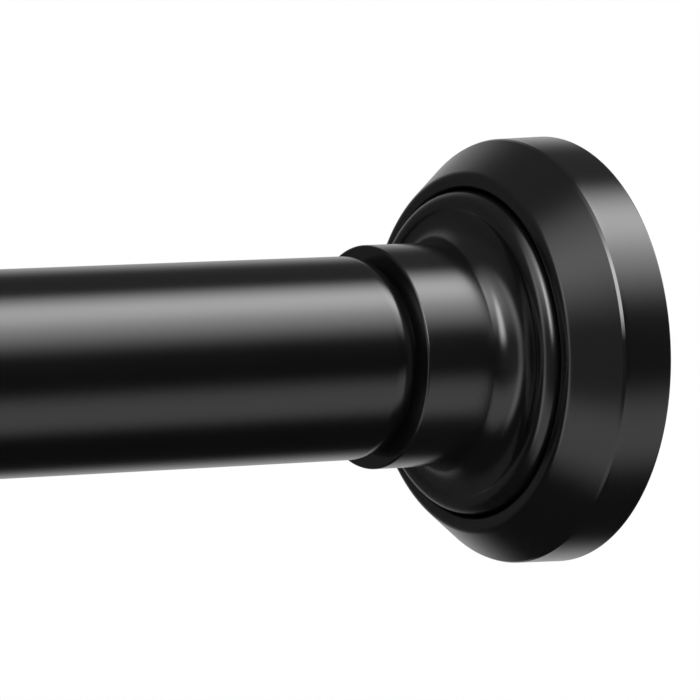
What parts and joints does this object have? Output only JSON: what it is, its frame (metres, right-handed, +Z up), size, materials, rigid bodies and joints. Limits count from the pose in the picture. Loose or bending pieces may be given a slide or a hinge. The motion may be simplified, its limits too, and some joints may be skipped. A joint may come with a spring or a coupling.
{
  "type": "spring tension rod",
  "caption": "Telescoping round curtain rod held between two walls by an inner spring, with a twist lock and a swivelling stepped round flange at each end.",
  "frame": {"origin": "centre of the fixed end's wall face, where its rubber pad meets the wall", "axes": "+X along the rod into the wall at the fixed end, +Z up; the rod runs to -X"},
  "size_m": [0.914, 0.0538, 0.0538],
  "materials": {
    "black_metal": "satin black powder coat",
    "black_tube": "satin black enamel",
    "black_nylon": "moulded, fine matt",
    "rubber": "matt soft rubber",
    "white_nylon": "moulded natural nylon",
    "grey_nylon": "moulded grey nylon",
    "zinc_steel": "bright zinc plate",
    "spring_steel": "drawn and oiled spring wire"
  },
  "bodies": {
    "fixed_cap": {"wall_pad_fixed": "rubber", "flange_ring_fixed": "black_metal", "thrust_washer_fixed": "white_nylon"},
    "outer_rod": {"outer_tube": "black_tube", "mouth_ferrule": "black_nylon", "bell_collar_fixed": "black_metal", "tube_plug_fixed": "grey_nylon", "pivot_screw_fixed": "zinc_steel", "pivot_bush_fixed": "zinc_steel", "pivot_washer_fixed": "zinc_steel"},
    "lock": {"lock_sleeve": "white_nylon"},
    "cone": {"cone_nut": "grey_nylon"},
    "drive_spindle": {"spindle": "zinc_steel", "hub_clip": "spring_steel", "hub_washer": "zinc_steel", "stop_clip": "spring_steel", "stop_washer": "zinc_steel", "compression_spring": "spring_steel"},
    "inner_rod": {"inner_tube": "black_tube", "spindle_guide": "white_nylon", "spring_seat_washer": "zinc_steel", "bell_collar_sprung": "black_metal", "tube_plug_sprung": "grey_nylon", "pivot_screw_sprung": "zinc_steel", "pivot_bush_sprung": "zinc_steel", "pivot_washer_sprung": "zinc_steel"},
    "sprung_cap": {"wall_pad_sprung": "rubber", "flange_ring_sprung": "black_metal", "thrust_washer_sprung": "white_nylon"}
  },
  "joints": [
    {"name": "fixed_swivel", "type": "hinge", "parent": "fixed_cap", "child": "outer_rod", "pos_m": [-0.00892, 0, 0], "axis": [1, 0, 0], "continuous": true},
    {"name": "telescope", "type": "slide", "parent": "outer_rod", "child": "lock", "axis": [-1, 0, 0], "range_m": [-0.163, 0.305]},
    {"name": "twist_lock", "type": "hinge", "parent": "lock", "child": "drive_spindle", "pos_m": [-0.20487, 0, 0], "axis": [-1, 0, 0], "range_deg": [0, 720]},
    {"name": "cone_travel", "type": "slide", "parent": "lock", "child": "cone", "axis": [-1, 0, 0], "range_m": [0, 0.004]},
    {"name": "spring_slide", "type": "slide", "parent": "drive_spindle", "child": "inner_rod", "axis": [1, 0, 0], "range_m": [0, 0.04], "stiffness_N_per_m": 3000, "springref_m": -0.01, "deforming": ["compression_spring"]},
    {"name": "sprung_swivel", "type": "hinge", "parent": "inner_rod", "child": "sprung_cap", "pos_m": [-0.90508, 0, 0], "axis": [-1, 0, 0], "continuous": true}
  ],
  "couplings": [
    {"joint": "cone_travel", "follows": "twist_lock", "m_per_rad": 0.00031831}
  ]
}
